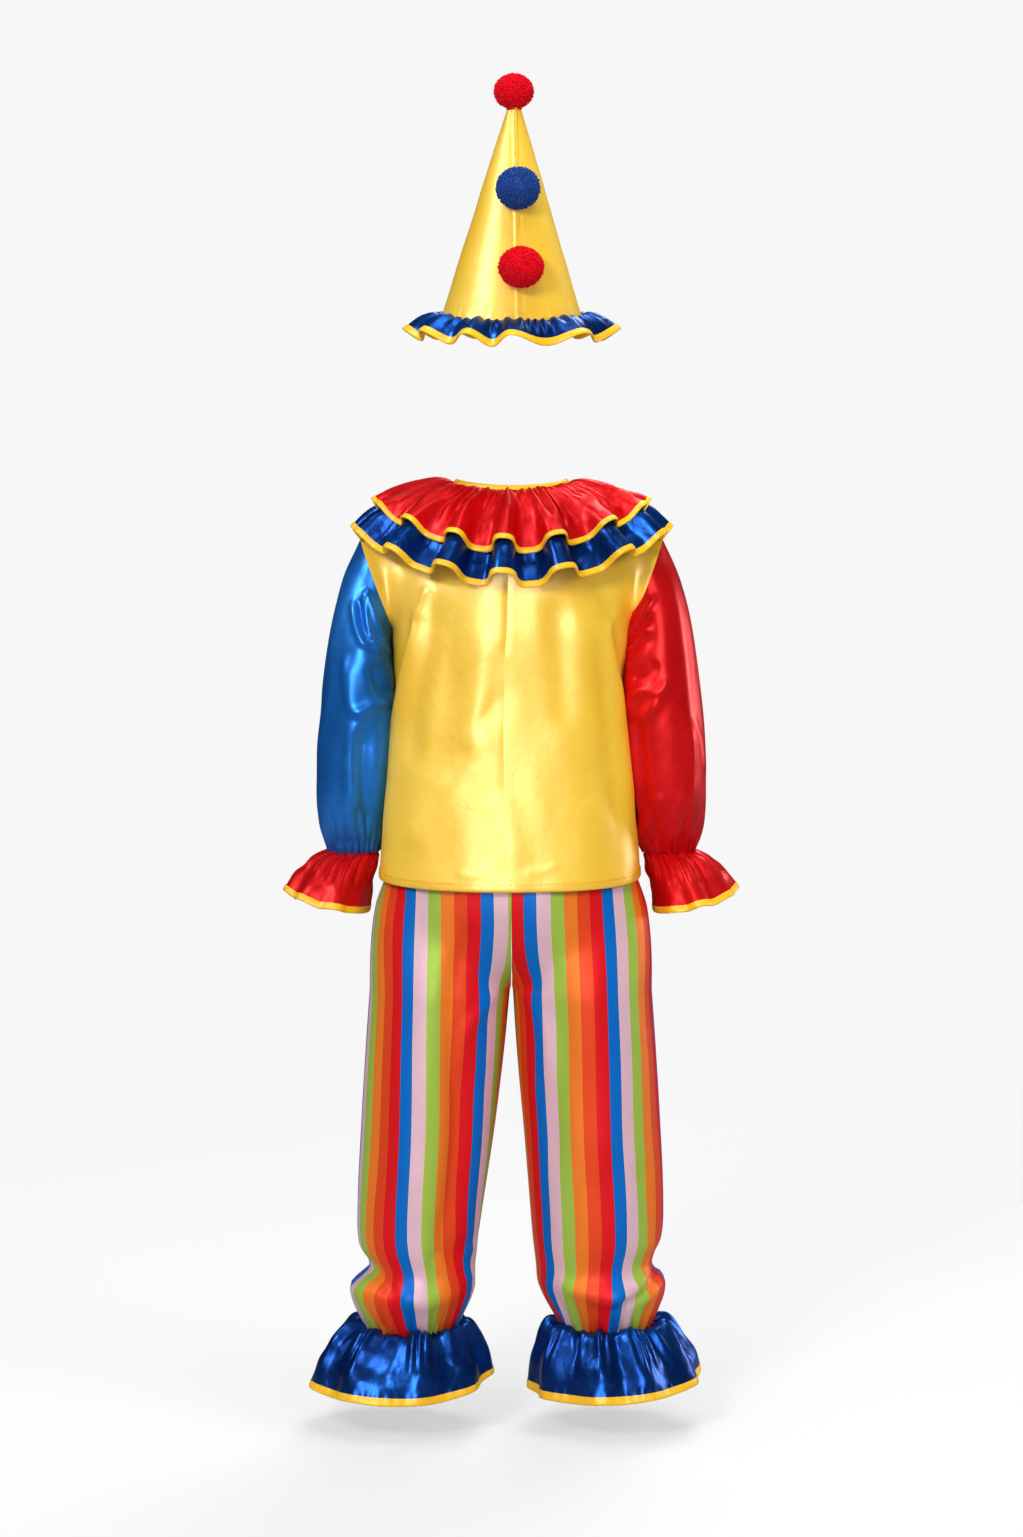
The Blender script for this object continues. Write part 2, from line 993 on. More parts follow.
def stitch_row(surface: Surface, share: float, count: int) -> tuple[Array, Array]:
    """Where the stitches on a folded edge lie.

    Args:
        surface: The cloth under the fold.
        share: How much of the cloth's v the fold covers.
        count: How many stitches go round.

    Returns:
        Their places, and the normals there.
    """
    turns = np.arange(count) / count
    at = np.full(count, STITCH_ROW * share)
    facing = outward(surface, turns, at)
    return surface(turns, at) + facing * (BINDING_WALL / 2 - STITCH_SINK), facing


@dataclass(frozen=True)
class Ruffle:
    """A gathered strip with a folded binding on its free edge, where v is 0."""

    name: str
    surface: Surface
    reach: float  # from the free edge to the gathers
    cut: tuple[float, float]  # length and width of the flat strip
    finish: Satin
    columns: int
    rows: int
    band: float = BINDING_WIDTH

    def build(self) -> None:
        """Makes the strip, its binding and the stitches on it."""
        share = self.band / self.reach
        grid = Grid(self.columns, self.rows, up=(0.5 * share, 1.0), closed=True)
        mesh = sheet_mesh(self.name, self.surface, grid, self.cut)
        strip = add_piece(self.name, mesh, self.finish, self.name)
        thicken(strip, SATIN)
        binding = self.bind(share)
        row = self.sew(share)
        self.cut[0] * MM
        self.cut[1] * MM

    def bind(self, share: float) -> bpy.types.Object:
        """The folded binding.

        Args:
            share: How much of the strip's v it covers.

        Returns:
            Its piece.
        """
        name = f"{self.name}_binding"
        size = (self.cut[0], 2 * BINDING_WIDTH)
        grid = Grid(self.columns, 9, closed=True)
        mesh = sheet_mesh(name, folded_edge(self.surface, share), grid, size)
        binding = add_piece(name, mesh, BRIGHT_YELLOW, name)
        thicken(binding, TAPE)
        return binding

    def sew(self, share: float) -> bpy.types.Object:
        """The row of stitches on the outer face of the binding.

        Args:
            share: How much of the strip's v the binding covers.

        Returns:
            Their piece.
        """
        name, count = f"{self.name}_stitches", int(self.cut[0] / STITCH_PITCH)
        line, facing = stitch_row(self.surface, share, count)
        return stitches(name, line, facing, length=2.3, radius=0.32, finish=BRIGHT_YELLOW)


@dataclass(frozen=True)
class Hat:
    """The cone hat: satin over a stiff base, with one puckered seam at the back."""

    base_radius: float = 69.5
    base_z: float = 166.0
    tip_x: float = 2.5
    tip_radius: float = 6.0
    tip_z: float = 373.0
    wall: float = 1.6
    seam_turn: float = 0.7655
    seam_ends: tuple[float, float] = (0.035, 0.93)  # of its stitches, as shares of the slant
    seam_stitch_count: int = 46
    slant: float = 216.6
    base_round: float = 437.0
    tip_round: float = 38.0
    hem: float = 6.0
    back_sink: float = 3.6  # how much lower the ruffle sits at the back

    def cone(self, u: Array, v: Array) -> Array:
        """The plain cone.

        Args:
            u: Places round it.
            v: Places up it.

        Returns:
            Points.
        """
        angle = 2 * np.pi * u
        radius = mix(self.base_radius, self.tip_radius, v)
        x = self.tip_x * v + radius * np.cos(angle)
        return points(x, radius * np.sin(angle), mix(self.base_z, self.tip_z, v))

    def relief(self, u: Array, v: Array, at: Array, facing: Array) -> Array:
        """The seam, the puckers beside it, and those of the turned lower edge.

        Args:
            u: Places round the cone.
            v: Places up it.
            at: The points there.
            facing: The normals there.

        Returns:
            How far the satin stands out.
        """
        radius = mix(self.base_radius, self.tip_radius, v)
        off = (u - self.seam_turn) * 2 * np.pi * radius
        down = v * self.slant
        ridge = 1.1 * bell(off, 2.6) - 0.5 * bell(np.abs(off) - 3.4, 1.6) - 0.5 * bell(off, 0.6)
        drift = 2.4 * np.sin(down / 13) + 1.7 * np.sin(down / 5.3 + 1)
        drawn = np.cos(down * 2 * np.pi / 9.7 + drift + 0.3 * off)
        puckers = 0.16 * drawn * bell(np.abs(off) - 4, 5)
        edge = smooth(1 - down / 16)
        base = 0.4 * edge * gathers(u, 22, 5) + 0.4 * bell(down - 2, 3) - 0.4 * bell(down - self.hem, 1.1)
        return ridge + puckers + base + 0.22 * ripple(at, 46, 21) * smooth(down / 30)

    def build(self) -> None:
        """Makes the cone, its seam stitches, the ruffle and the pompoms."""
        surface = raised(self.cone, self.relief)
        cut = (self.base_round, self.slant)
        mesh = sheet_mesh("hat_cone", surface, Grid(240, 56, closed=True), cut)
        cone = add_piece("hat_cone", mesh, YELLOW, "hat_cone")
        thicken(cone, self.wall)
        seam = self.seam_stitches(surface)
        self.brim().build()

    def seam_stitches(self, surface: Surface) -> bpy.types.Object:
        """Short bright stitches down the seam.

        Args:
            surface: The cone with its seam.

        Returns:
            Their piece.
        """
        up = np.linspace(*self.seam_ends, self.seam_stitch_count)
        turn = np.full_like(up, self.seam_turn)
        facing = outward(surface, turn, up)
        line = surface(turn, up) + facing * 1.0
        name = "hat_seam_stitches"
        return stitches(name, line, facing, length=2.6, radius=0.42, finish=BRIGHT_YELLOW)

    def brim(self) -> Ruffle:
        """The navy ruffle round the lower edge.

        Returns:
            The ruffle.
        """
        rings = Table(
            "out radius z",
            (0, 70, 165.5),
            (0.16, 75, 170.5),
            (0.42, 84.5, 167.5),
            (0.7, 93.5, 160.5),
            (1, 101, 151),
        )

        def base(u: Array, v: Array) -> Array:
            """The strip before its waves."""
            radius, angle = rings("radius", 1 - v), 2 * np.pi * u
            sunk = self.back_sink * np.maximum(0, -np.sin(angle)) ** 2
            return points(radius * np.cos(angle), radius * np.sin(angle), rings("z", 1 - v) - sunk)

        def lift(u: Array, v: Array, at: Array, facing: Array) -> Array:
            """Its waves and gathers."""
            wave = 9.5 * (1 - v) ** 1.2 * waves(BRIM_CRESTS, u, 1.15)
            inner = 1.7 * smooth(v / 0.9) * gathers(u, 46, 3)
            return wave + inner + 0.7 * (1 - v) * ripple(at, 26, 33)

        return Ruffle(
            "hat_ruffle",
            raised(base, lift),
            reach=34,
            cut=(640, 36),
            finish=NAVY,
            columns=360,
            rows=16,
        )

    def pressed(self, at: Array) -> Array:
        """Moves points that lie inside the cone out to its wall.

        Args:
            at: Points.

        Returns:
            The moved points.
        """
        share = np.clip((at[:, 2] - self.base_z) / (self.tip_z - self.base_z), 0, 1)
        axis = self.tip_x * share
        least = mix(self.base_radius, self.tip_radius, share) + 1.6
        away = np.maximum(np.hypot(at[:, 0] - axis, at[:, 1]), 1e-6)
        stretch = np.where((away < least) & (at[:, 2] < self.tip_z), least / away, 1.0)
        return points(axis + (at[:, 0] - axis) * stretch, at[:, 1] * stretch, at[:, 2])


@dataclass(frozen=True)
class Pompom:
    """A ball of short cut yarn."""

    name: str
    centre: tuple[float, float, float]
    radius: float
    height: float
    finish: Yarn
    seed: int
    strands: int = 2000
    core: float = 0.93  # this and the next ones are shares of the ball's radius
    strand: float = 0.022  # half a strand's thickness
    open_end: float = 0.034  # the same at an end that is untwisted
    length: tuple[float, float] = (0.14, 0.2)
    tips: tuple[float, float] = (0.97, 1.05)

    def build(self, hat: Hat) -> None:
        """Makes the core and its yarn ends, pressed flat where they meet the hat.

        Args:
            hat: The hat that it is sewn on.
        """
        draw = np.random.default_rng(self.seed)
        shape = bmesh.new()
        bmesh.ops.create_icosphere(shape, subdivisions=4, radius=self.core)
        golden = math.pi * (3 - math.sqrt(5))
        for k in range(self.strands):
            level = 1 - 2 * (k + 0.5) / self.strands
            ring = math.sqrt(1 - level * level)
            direction = Vector((ring * math.cos(golden * k), ring * math.sin(golden * k), level))
            direction = (direction + Vector(draw.normal(0, 0.03, 3))).normalized()
            lean = (direction + Vector(draw.normal(0, 0.25, 3))).normalized()
            tip = direction * draw.uniform(*self.tips)
            turn = lean.to_track_quat("Z", "Y").to_matrix().to_4x4()
            length = draw.uniform(*self.length)
            bmesh.ops.create_cone(
                shape,
                cap_ends=True,
                segments=4,
                radius1=self.strand,
                radius2=draw.uniform(self.strand, self.open_end),
                depth=length,
                matrix=Matrix.Translation(tip - lean * (length / 2)) @ turn,
            )
        mesh = bpy.data.meshes.new(self.name)
        shape.to_mesh(mesh)
        shape.free()
        at = np.empty(len(mesh.vertices) * 3, np.float32)
        mesh.vertices.foreach_get("co", at)
        at = at.reshape(-1, 3) * (self.radius, self.radius, self.height) + np.array(self.centre)
        mesh.vertices.foreach_set("co", (hat.pressed(at) * MM).astype(np.float32).ravel())
        mesh.shade_smooth()
        add_piece(self.name, mesh, self.finish, self.name)


# Each fold is its path as x and z, its height, its width and its lean
BACK_FOLDS = (
    # The two side folds, each with a bright edge and the cloth outside it set back
    Fold(
        (
            (-93, -107),
            (-97, -145),
            (-107, -187),
            (-114, -223),
            (-121, -268),
            (-129, -321),
            (-134, -363),
        ),
        5.0,
        7,
        0.6,
    ),
    Fold(((-100, -107), (-104, -145), (-114, -187), (-121, -223), (-128, -268), (-136, -321)), -2.2, 5),
    Fold(((92, -107), (100, -172), (105, -195), (111, -242), (117, -297), (126, -359)), 5.0, 7, -0.6),
    Fold(((99, -107), (107, -172), (112, -195), (118, -242), (124, -297)), -2.2, 5),
    # The centre seam, open at its top
    Fold(((-4, -76), (-4, -115), (-6, -144), (-7, -163)), -0.9, 1.5),
    Fold(((-7, -163), (-8, -223), (-6, -302), (-7, -361), (-8, -392)), -0.4, 1.4),
    # Long shaded and bright bands
    Fold(((-75, -96), (-84, -156), (-96, -226), (-98, -285)), -2.6, 10),
    Fold(((-80, -92), (-86, -107), (-92, -129)), 2.2, 6),
    Fold(((-55, -96), (-62, -194), (-78, -293)), -2.2, 16),
    Fold(((-21, -124), (-33, -203), (-45, -263)), 2.0, 14),
    Fold(((2, -180), (-30, -226), (-52, -262), (-74, -290)), -1.0, 11, 0.3),
    Fold(((-18, -216), (-44, -262), (-62, -298), (-88, -334), (-110, -356)), 1.5, 14),
    Fold(((43, -95), (47, -164), (53, -243)), -2.4, 14),
    Fold(((65, -80), (72, -165), (77, -224), (79, -280)), 1.5, 15),
    Fold(((85, -126), (93, -206), (101, -285), (112, -366)), -1.7, 10),
    Fold(((72, -300), (86, -322), (104, -342)), 0.9, 11),
    # The small star pucker on the right side fold
    Fold(((88, -125), (99, -129), (107, -132)), 1.0, 2.4),
    Fold(((92, -141), (99, -129), (103, -118)), 0.8, 2.2),
    # Pulls below the collar at both shoulders
    Fold(((-128, -78), (-123, -102), (-115, -128)), -1.5, 6),
    Fold(((-110, -74), (-118, -110), (-125, -142)), 1.2, 6),
    Fold(((77, -72), (91, -107), (97, -137)), -1.2, 8),
    Fold(((112, -74), (105, -108), (101, -132)), 1.1, 7),
    Fold(((125, -78), (119, -105), (114, -130)), -1.2, 6),
    # Small puckers above the hem
    Fold(((-26, -373), (-41, -377), (-56, -372)), 0.5, 3.5),
    Fold(((8, -376), (33, -371), (48, -364)), 0.5, 3.5),
    Fold(((-9, -290), (-2, -330), (6, -372)), 0.7, 12),
)

# The front follows the back, without the back's centre seam and star pucker
FRONT_FOLDS = mirrored(moved(BACK_FOLDS[:4] + BACK_FOLDS[6:16] + BACK_FOLDS[18:], 2, 3, 0.9))

BLUE_SLEEVE_FOLDS = (
    Fold(((-146, -95), (-144, -123), (-139, -148), (-125, -166)), 3.6, 3.4),
    Fold(((-146, -97), (-140, -109), (-133, -134), (-122, -164)), 3.4, 3.0),
    Fold(((-150, -105), (-147, -132), (-136, -158)), -3.4, 3.6),
    Fold(((-157, -105), (-152, -138), (-143, -158)), 3.4, 3.6),
    Fold(((-143, -158), (-140, -149), (-130, -154), (-118, -168)), 3.2, 3.2),
    Fold(((-137, -168), (-130, -193), (-120, -208)), -6.0, 7),
    Fold(((-164, -160), (-160, -208), (-152, -226)), 3.6, 7, 0.3),
    Fold(((-156, -226), (-140, -215), (-118, -203)), 3.6, 6),
    Fold(((-152, -220), (-158, -252), (-158, -287), (-160, -330)), 2.6, 9),
    Fold(((-159, -81), (-175, -149), (-178, -199), (-188, -242), (-193, -285)), 2.2, 4.5),
    Fold(((-144, -230), (-148, -267), (-144, -307), (-140, -352)), -7.5, 10),
    Fold(((-180, -105), (-189, -162), (-193, -220)), 1.2, 6),
    Fold(((-166, -240), (-172, -280), (-170, -325)), -2.0, 7),
    Fold(((-183, -316), (-176, -344), (-170, -362)), -2.6, 3.0),
    Fold(((-167, -320), (-165, -343), (-162, -362)), -2.6, 3.0),
    Fold(((-154, -316), (-153, -339), (-153, -362)), -2.8, 3.2),
    Fold(((-142, -324), (-143, -342), (-144, -362)), -2.4, 3.0),
)

RED_SLEEVE_FOLDS = (
    Fold(((110, -156), (127, -129), (144, -102)), 3.4, 3.6),
    Fold(((112, -166), (127, -147), (139, -131)), 3.2, 3.4),
    Fold(((113, -180), (127, -164), (137, -145)), 3.2, 4.0),
    Fold(((112, -160), (127, -139), (140, -118)), -2.6, 2.6),
    Fold(((113, -172), (127, -156), (137, -140)), -2.6, 2.6),
    Fold(((110, -214), (127, -199), (147, -198), (157, -180)), 3.0, 4.5),
    Fold(((112, -204), (123, -224), (137, -218), (150, -196)), 3.4, 6),
    Fold(((118, -188), (132, -184), (146, -168)), -3.2, 6),
    Fold(((150, -66), (161, -109), (169, -159), (175, -229), (177, -305)), 2.0, 5.5),
    Fold(((176, -230), (179, -279), (178, -335)), 1.8, 3.0),
    Fold(((177, -222), (186, -251), (192, -292)), 1.6, 3.0),
    Fold(((116, -364), (137, -328), (150, -300)), 2.4, 7),
    Fold(((159, -364), (165, -328), (178, -283)), 2.2, 6),
    Fold(((142, -364), (143, -337), (138, -308)), -3.0, 4),
    Fold(((170, -362), (172, -340), (176, -322)), -2.4, 3),
    Fold(((122, -206), (126, -250), (130, -300), (128, -340)), -5.0, 8),
)


@dataclass(frozen=True)
class Top:
    """The satin top: two back halves, one front, two sleeves with cuffs, and a stitched hem."""

    hem_z: float = -393.0
    hem_rise: float = 5.0
    underarm_z: float = -140.0
    roundness: float = 0.84
    neckline_share: float = 0.42
    underarm_share: float = 0.62
    armhole_depth: float = 38.0
    fold_depth: float = 1.3
    neck: tuple[float, float] = (59.0, 50.0)  # half the width and the depth of the neckline
    neck_side_z: float = -6.2
    neck_back_z: float = -11.0
    neck_front_z: float = -25.4
    shoulder_x: float = 150.0
    shoulder_z: float = -52.0
    back_cut: tuple[float, float] = (245.0, 372.0)  # one half of the back
    front_cut: tuple[float, float] = (490.0, 372.0)
    sleeve_cut: tuple[float, float] = (270.0, 310.0)
    hem_length: float = 735.0
    hem_stitch_count: int = 220
    sleeve_clear: float = 1.6
    sleeve_wrap: float = 9.0
    rings: Table = Table(
        "z left right back front",
        (-391, 132, 129, 95, 92),
        (-350, 129, 126, 93, 91),
        (-285, 121.5, 119, 90, 89),
        (-200, 117.5, 113.5, 88, 86),
        (-140, 118, 118, 90, 84),
    )
    # The centre seam of the back, as heights and its x at each
    seam: tuple[tuple[float, ...], tuple[float, ...]] = (
        (-391, -361, -223, -159, -140),
        (-8, -7, -8, -6.5, -5),
    )
    back: Drape = Drape(BACK_FOLDS, (), ripple=0.45, length=52, seed=7)
    front: Drape = Drape((), FRONT_FOLDS, ripple=0.45, length=52, seed=8)

    @property
    def hem_share(self) -> float:
        """How much of a panel's v the hem covers."""
        return HEM_WIDTH / (self.underarm_z - self.hem_z) * self.underarm_share

    def lower(self, face: Face, size: Array, left: Array, z: Array) -> tuple[Array, Array]:
        """Half the width and the depth of the body below the underarm.

        Args:
            face: The back or the front.
            size: How far round it from the centre, from 0 to 1.
            left: Whether that is on the left.
            z: Heights.

        Returns:
            Places along X and Y, both without their sign.
        """
        turn = size * np.pi / 2
        half = np.where(left, self.rings("left", z), self.rings("right", z))
        depth = self.rings(face.name.lower(), z)
        across = half * np.sin(turn) ** self.roundness
        return across, depth * np.maximum(0, np.cos(turn)) ** self.roundness

    def upper_edge(self, face: Face, size: Array) -> tuple[Array, Array, Array]:
        """The neckline and the shoulder line.

        Args:
            face: The back or the front.
            size: How far along them from the centre, from 0 to 1.

        Returns:
            Places along X, Y and Z, the first two without their sign.
        """
        end = self.neck_back_z if face is Face.BACK else self.neck_front_z
        half, depth = self.neck
        turn = np.minimum(1, size / self.neckline_share) * np.pi / 2
        share = np.clip((size - self.neckline_share) / (1 - self.neckline_share), 0, 1)
        on_neck = size < self.neckline_share
        neck_z = mix(end, self.neck_side_z, np.sin(turn) ** 2)
        shoulder_z = mix(self.neck_side_z, self.shoulder_z, share**1.15)
        x = np.where(on_neck, half * np.sin(turn), mix(half, self.shoulder_x, share))
        y = np.where(on_neck, depth * np.cos(turn), 0.0)
        return x, y, np.where(on_neck, neck_z, shoulder_z)

    def plain(self, face: Face) -> Surface:
        """The body without its folds.

        Args:
            face: The back or the front.

        Returns:
            A surface with u from -1 to 1, and v from the hem to the neck and shoulder.
        """

        def body(u: Array, v: Array) -> Array:
            """The plain body.

            Args:
                u: Places round it.
                v: Places up it.

            Returns:
                Points.
            """
            size = np.minimum(1, np.abs(u))
            left = u < 0
            share = np.clip((v - self.underarm_share) / (1 - self.underarm_share), 0, 1)
            rise = self.hem_z + self.hem_rise * size**2
            low_z = mix(rise, self.underarm_z, np.minimum(1, v / self.underarm_share))
            low_x, low_y = self.lower(face, size, left, low_z)
            end_x, end_y, end_z = self.upper_edge(face, size)
            swing = (1 - np.cos(np.pi * share)) / 2
            climb = mix(np.sin(share * np.pi / 2), swing, size**3)
            bulge = self.armhole_depth * np.sin(np.pi * share) * size**6
            x = mix(low_x, end_x, swing) * np.sign(u + 1e-12)
            if face is Face.BACK:
                near_seam = (1 - np.minimum(1, size / 0.5)) ** 2
                x = x + np.interp(low_z, *self.seam) * (1 - share) * near_seam
            y = mix(end_y, low_y, np.cos(share * np.pi / 2)) + bulge
            z = np.where(share > 0, mix(self.underarm_z, end_z, climb), low_z)
            return points(x, face.value * y, z)

        return body

    def draped(self, face: Face) -> Surface:
        """The body with its folds, which die away at the side seams.

        Args:
            face: The back or the front.

        Returns:
            A surface with u and v as on the plain body.
        """
        drape = self.back if face is Face.BACK else self.front
        direction = -face.value

        def lift(u: Array, v: Array, at: Array, facing: Array) -> Array:
            """The height of the folds."""
            held = 1 - np.minimum(1, np.abs(u)) ** 8
            under_collar = 1 - 0.7 * smooth((at[..., 2] + 70) / 40)
            return direction * self.fold_depth * drape.lift(at, facing * direction) * held * under_collar

        return raised(self.plain(face), lift)

    def build(self) -> None:
        """Makes the panels, the hem and the sleeves."""
        back, front = self.draped(Face.BACK), self.draped(Face.FRONT)
        up = (self.hem_share * 0.5, 1.0)
        # Name, surface, part of u, columns and cut
        panels = (
            ("top_back_left", back, (-1.0, 0.0), 84, self.back_cut),
            ("top_back_right", back, (0.0, 1.0), 84, self.back_cut),
            ("top_front", front, (1.0, -1.0), 104, self.front_cut),
        )
        hem = self.hem(back, front)
        thread = self.hem_stitches(back, front)
        for name, surface, across, columns, size in panels:
            mesh = sheet_mesh(name, surface, Grid(columns, 124, across, up), size)
            panel = add_piece(name, mesh, YELLOW, name)
            thicken(panel, SATIN)
            with_pieces = [hem, thread] if name == "top_front" else []
            area = PANEL_SHARE * size[0] * size[1]
            size[0] * MM
            size[1] * MM
            area * MM * MM
        sleeves = (
            (Side.LEFT, BLUE, BLUE_SLEEVE_FOLDS),
            (Side.RIGHT, RED, RED_SLEEVE_FOLDS),
        )
        for side, finish, folds in sleeves:
            self.sleeve(side, finish, folds)
            self.cuff(side).build()

    def round_body(self, back: Surface, front: Surface) -> Surface:
        """The whole body: the back from left to right, then the front from right to left.

        Args:
            back: The back, with u from -1 to 1.
            front: The front, likewise.

        Returns:
            A surface with u from 0 to 1.
        """

        def body(u: Array, v: Array) -> Array:
            """The body, all round.

            Args:
                u: Places round it.
                v: Places up it.

            Returns:
                Points.
            """
            turn = (u % 1) * 4
            behind = (turn < 2)[..., None]
            back_at = back(np.clip(turn - 1, -1, 1), v)
            return np.where(behind, back_at, front(np.clip(3 - turn, -1, 1), v))

        return body

    def hem(self, back: Surface, front: Surface) -> bpy.types.Object:
        """The folded hem, all round.

        Args:
            back: The back.
            front: The front.

        Returns:
            Its piece.
        """
        fold = folded_edge(self.round_body(back, front), self.hem_share)
        size = (self.hem_length, 2 * HEM_WIDTH)
        mesh = sheet_mesh("top_hem", fold, Grid(360, 11, closed=True), size)
        hem = add_piece("top_hem", mesh, YELLOW_HEM, "top_hem")
        thicken(hem, TAPE)
        return hem

    def hem_stitches(self, back: Surface, front: Surface) -> bpy.types.Object:
        """The row of stitches at the top of the hem.

        Args:
            back: The back.
            front: The front.

        Returns:
            Their piece.
        """
        body = self.round_body(back, front)
        line, facing = stitch_row(body, self.hem_share, self.hem_stitch_count)
        name = "top_hem_stitches"
        return stitches(name, line, facing, length=2.4, radius=0.36, finish=HEM_THREAD)

    def beside_body(self, at: Array) -> Array:
        """Moves points of a sleeve straight out to the side, where they would be in the body.

        Args:
            at: Points.

        Returns:
            The moved points.
        """
        left, behind, z = at[..., 0] < 0, at[..., 1] < 0, at[..., 2]
        power = 2 / self.roundness
        depth = np.where(behind, self.rings("back", z), self.rings("front", z)) + self.sleeve_clear
        reach = np.where(left, self.rings("left", z), self.rings("right", z)) + self.sleeve_clear
        edge = reach * np.maximum(0, 1 - (np.abs(at[..., 1]) / depth) ** power) ** (1 / power)
        below = smooth((self.underarm_z - z) / 12)
        x = np.maximum(np.abs(at[..., 0]), edge * below)
        return points(np.where(left, -x, x), at[..., 1], z)

    def sleeve(self, side: Side, finish: Satin, folds: tuple[Fold, ...]) -> None:
        """One sleeve, gathered at the wrist.

        Args:
            side: The wearer's side.
            finish: Its satin.
            folds: Its folds as seen from behind.
        """
        tube = ring_tube(
            Table(
                "down x y z width depth rise",
                (0, 134, 0, -96, 16, 38, 44),
                (0.12, 143.5, -1, -126, 24, 44, 35),
                (0.3, 147.5, -2, -171, 33, 49, 25),
                (0.5, 152, 2, -230, 38, 50, 14),
                (0.7, 156.5, 9, -296, 37.5, 47, 5),
                (0.87, 159, 18, -337, 33.5, 40, 2),
                (1, 159, 25, -366, 24, 27, 0),
            ),
            side,
        )
        front = moved(folds, 0, -8, 0.8)
        drape = Drape(folds, front, ripple=0.45, length=42, seed=11 + side.value)

        def lift(u: Array, v: Array, at: Array, facing: Array) -> Array:
            """Its folds, and the gathers at the wrist.

            Args:
                u: Places round it.
                v: Places up it.
                at: The points there.
                facing: The normals there.

            Returns:
                Heights.
            """
            coarse = 2.2 * smooth(1 - v / 0.17) * gathers(u, 13, 9)
            wrist = coarse + 0.5 * smooth(1 - v / 0.06) * gathers(u, 30, 10)
            armhole = smooth((1 - v) / 0.06)
            return wrist + drape.lift(at, facing) * armhole * (0.35 + 0.65 * smooth(v / 0.05))

        def wrapped(u: Array, v: Array) -> Array:
            """The tube with its inner edge drawn round behind the body.

            Args:
                u: Places round it.
                v: Places up it.

            Returns:
                Points.
            """
            angle, at = 2 * np.pi * u, tube(u, v)
            behind = bell(side.value * np.sin(side.value * angle) + 0.5, 0.4)
            inner = smooth(-1.4 * np.cos(angle)) * behind
            at[..., 0] -= side.value * self.sleeve_wrap * inner * smooth((at[..., 2] + 390) / 60)
            return self.beside_body(at)

        name, cut = f"{side.name.lower()}_sleeve", self.sleeve_cut
        mesh = sheet_mesh(name, raised(wrapped, lift), Grid(122, 112, closed=True), cut)
        piece = add_piece(name, mesh, finish, name)
        thicken(piece, SATIN)

    def cuff(self, side: Side) -> Ruffle:
        """The red ruffle below the elastic at the wrist.

        Args:
            side: The wearer's side.

        Returns:
            The ruffle.
        """
        tube = ring_tube(
            Table(
                "down x y z width depth rise",
                (0, 159, 25, -367, 24, 27, 0),
                (0.25, 168, 25, -376, 31, 38, 2),
                (0.6, 176.5, 23, -395, 36.5, 50, 7),
                (1, 185, 20, -417.5, 41.5, 58, 10),
            ),
            side,
        )

        def lift(u: Array, v: Array, at: Array, facing: Array) -> Array:
            """Its waves, which die away beside the body, and its gathers.

            Args:
                u: Places round it.
                v: Places up it.
                at: The points there.
                facing: The normals there.

            Returns:
                Heights.
            """
            clear = smooth((1 + np.cos(2 * np.pi * u)) / 1.1)
            wave = 4.5 * (1 - v) ** 0.8 * clear * waves(CUFF_CRESTS, u)
            near_wrist = smooth((v - 0.3) / 0.5) * smooth((1 - v) / 0.1)
            drawn = 2.0 * near_wrist * gathers(u, 15, 15 + side.value)
            fine = 0.8 * smooth((v - 0.75) / 0.2) * gathers(u, 31, 16)
            return wave + drawn + fine + 1.0 * bell(v - 0.5, 0.35) * ripple(at, 30, 17 + side.value)

        return Ruffle(
            f"{side.name.lower()}_cuff_ruffle",
            raised(tube, lift),
            reach=62,
            cut=(340, 64),
            finish=RED,
            columns=230,
            rows=30,
            band=6.8,
        )


